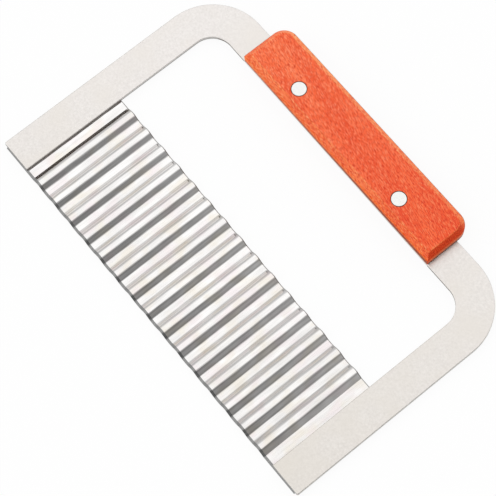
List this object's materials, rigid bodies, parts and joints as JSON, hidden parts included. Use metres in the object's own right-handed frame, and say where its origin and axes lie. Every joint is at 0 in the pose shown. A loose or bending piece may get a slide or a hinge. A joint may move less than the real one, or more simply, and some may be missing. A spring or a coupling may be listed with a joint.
{
  "type": "crinkle cutter",
  "caption": "Hand cutter with a waved steel blade across the legs of a flat steel bow, and a stained wooden grip riveted to the bow's bridge for slicing vegetables with a rippled face.",
  "frame": {"origin": "centre of the footprint, on the plane that the back of the tool rests on", "axes": "+X along the blade, +Y from the cutting edge to the grip, +Z out of the front face"},
  "size_m": [0.18, 0.1162, 0.0084],
  "materials": {
    "satin_steel": "satin",
    "bright_steel": "polished",
    "stained_wood": "stained and lightly varnished",
    "rivet_metal": "polished"
  },
  "bodies": {
    "root": {"bow_frame": "satin_steel", "crinkle_blade": "bright_steel", "wooden_grip": "stained_wood", "left_rivet_sleeve": "rivet_metal", "left_rivet_pin": "rivet_metal", "right_rivet_sleeve": "rivet_metal", "right_rivet_pin": "rivet_metal"}
  },
  "joints": []
}
